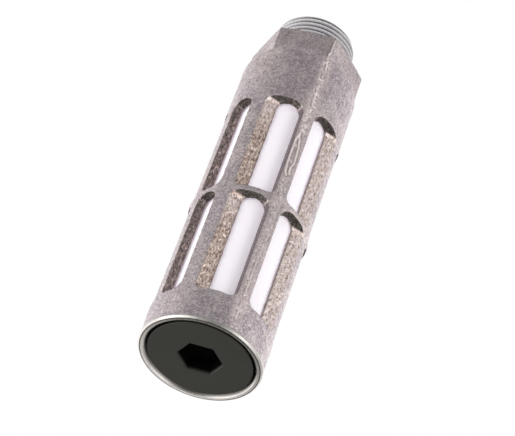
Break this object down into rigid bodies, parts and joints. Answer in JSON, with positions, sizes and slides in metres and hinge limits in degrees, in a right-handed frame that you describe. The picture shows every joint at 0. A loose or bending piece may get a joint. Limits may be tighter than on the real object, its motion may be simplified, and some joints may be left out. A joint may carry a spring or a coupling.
{
  "type": "pneumatic muffler",
  "caption": "Cylindrical exhaust silencer: slotted die-cast cage with hexagon and male pipe thread, porous plastic sleeve inside, closed by a screw plug with a hexagon socket.",
  "frame": {"origin": "on the axis, at the flat foot of the hexagon where the male pipe thread begins", "axes": "+Z along the axis from the pipe thread towards the plug end; +X in the casting's parting plane, through a corner of the hexagon and a rib"},
  "size_m": [0.038, 0.038, 0.138],
  "materials": {
    "cast_aluminium": "as-cast, fine grain, machined at the thread and rim",
    "porous_plastic": "smooth matt, slightly porous",
    "plug_plastic": "fine matt moulded"
  },
  "bodies": {
    "housing": {"housing": "cast_aluminium"},
    "silencer_sleeve": {"silencer_sleeve": "porous_plastic"},
    "end_plug": {"end_plug": "plug_plastic"}
  },
  "joints": [
    {"name": "sleeve_travel", "type": "slide", "parent": "housing", "child": "silencer_sleeve", "axis": [0, 0, 1], "range_m": [0, 0.009]},
    {"name": "plug_screw", "type": "hinge", "parent": "silencer_sleeve", "child": "end_plug", "pos_m": [0, 0, 0.122], "axis": [0, 0, 1], "range_deg": [0, 2160.01]}
  ],
  "couplings": [
    {"joint": "plug_screw", "follows": "sleeve_travel", "rad_per_m": 4188.8}
  ]
}
